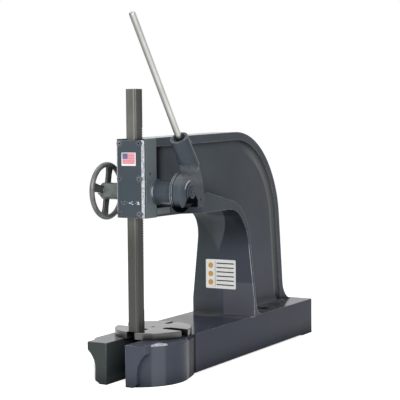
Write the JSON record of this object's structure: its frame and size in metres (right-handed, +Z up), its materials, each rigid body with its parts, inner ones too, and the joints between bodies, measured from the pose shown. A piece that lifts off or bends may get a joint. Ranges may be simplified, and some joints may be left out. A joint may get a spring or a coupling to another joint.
{
  "type": "arbor press",
  "caption": "Ratchet lever arbor press with a C-shaped cast frame, toothed square ram, handwheel and slotted round table plate.",
  "frame": {"origin": "on the ram axis at floor level", "axes": "+X to the lever side, +Y from the ram back to the column, +Z up along the ram"},
  "size_m": [0.356, 1.3282, 1.1248],
  "materials": {
    "frame_paint": "gloss charcoal blue paint over rough casting, worn bright along edges",
    "ram_steel": "ground steel with a thin oil film, brown tinge",
    "screw_steel": "zinc plated, satin",
    "dark_steel": "blackened steel",
    "bronze": "satin bearing bronze",
    "bar_steel": "bright plated, faint scratches",
    "wheel_iron": "dark grey, satin",
    "plate_iron": "machined cast iron, polished top"
  },
  "bodies": {
    "frame": {"frame_casting": "frame_paint", "ram_cap": "frame_paint", "cap_screws": "frame_paint", "gib": "bronze", "ram_lock_screw": "dark_steel", "left_bush": "bronze", "right_bush": "bronze", "thrust_washer": "bronze", "table_pin": "dark_steel"},
    "ram": {"ram": "ram_steel"},
    "pinion": {"pinion_shaft": "dark_steel", "ratchet_wheel": "dark_steel", "ratchet_key": "dark_steel", "end_washer": "frame_paint", "end_bolt": "frame_paint", "handwheel": "wheel_iron", "handwheel_key": "dark_steel", "handwheel_washer": "dark_steel", "handwheel_nut": "dark_steel"},
    "lever": {"lever_head": "frame_paint", "cheek_plate": "frame_paint", "cheek_screws": "frame_paint", "lever_bar": "bar_steel", "bar_set_screw": "dark_steel", "pawl_pin": "screw_steel", "pawl_plunger": "screw_steel"},
    "pawl": {"pawl": "dark_steel"},
    "plate": {"table_plate": "plate_iron"}
  },
  "joints": [
    {"name": "ram_slide", "type": "slide", "parent": "frame", "child": "ram", "axis": [0, 0, 1], "range_m": [0, 0.34911]},
    {"name": "pinion_turn", "type": "hinge", "parent": "frame", "child": "pinion", "pos_m": [0, 0.03429, 0.592], "axis": [1, 0, 0], "range_deg": [-1126, 1]},
    {"name": "lever_swing", "type": "hinge", "parent": "frame", "child": "lever", "pos_m": [0, 0.03429, 0.592], "axis": [1, 0, 0], "range_deg": [-30, 45]},
    {"name": "pawl_swing", "type": "hinge", "parent": "lever", "child": "pawl", "pos_m": [0, 0.098, 0.568], "axis": [1, 0, 0], "range_deg": [0, 14]},
    {"name": "plate_turn", "type": "hinge", "parent": "frame", "child": "plate", "pos_m": [0, 0.098, 0.13], "axis": [0, 0, 1], "continuous": true}
  ],
  "couplings": [
    {"joint": "pinion_turn", "follows": "ram_slide", "rad_per_m": -56.243}
  ]
}
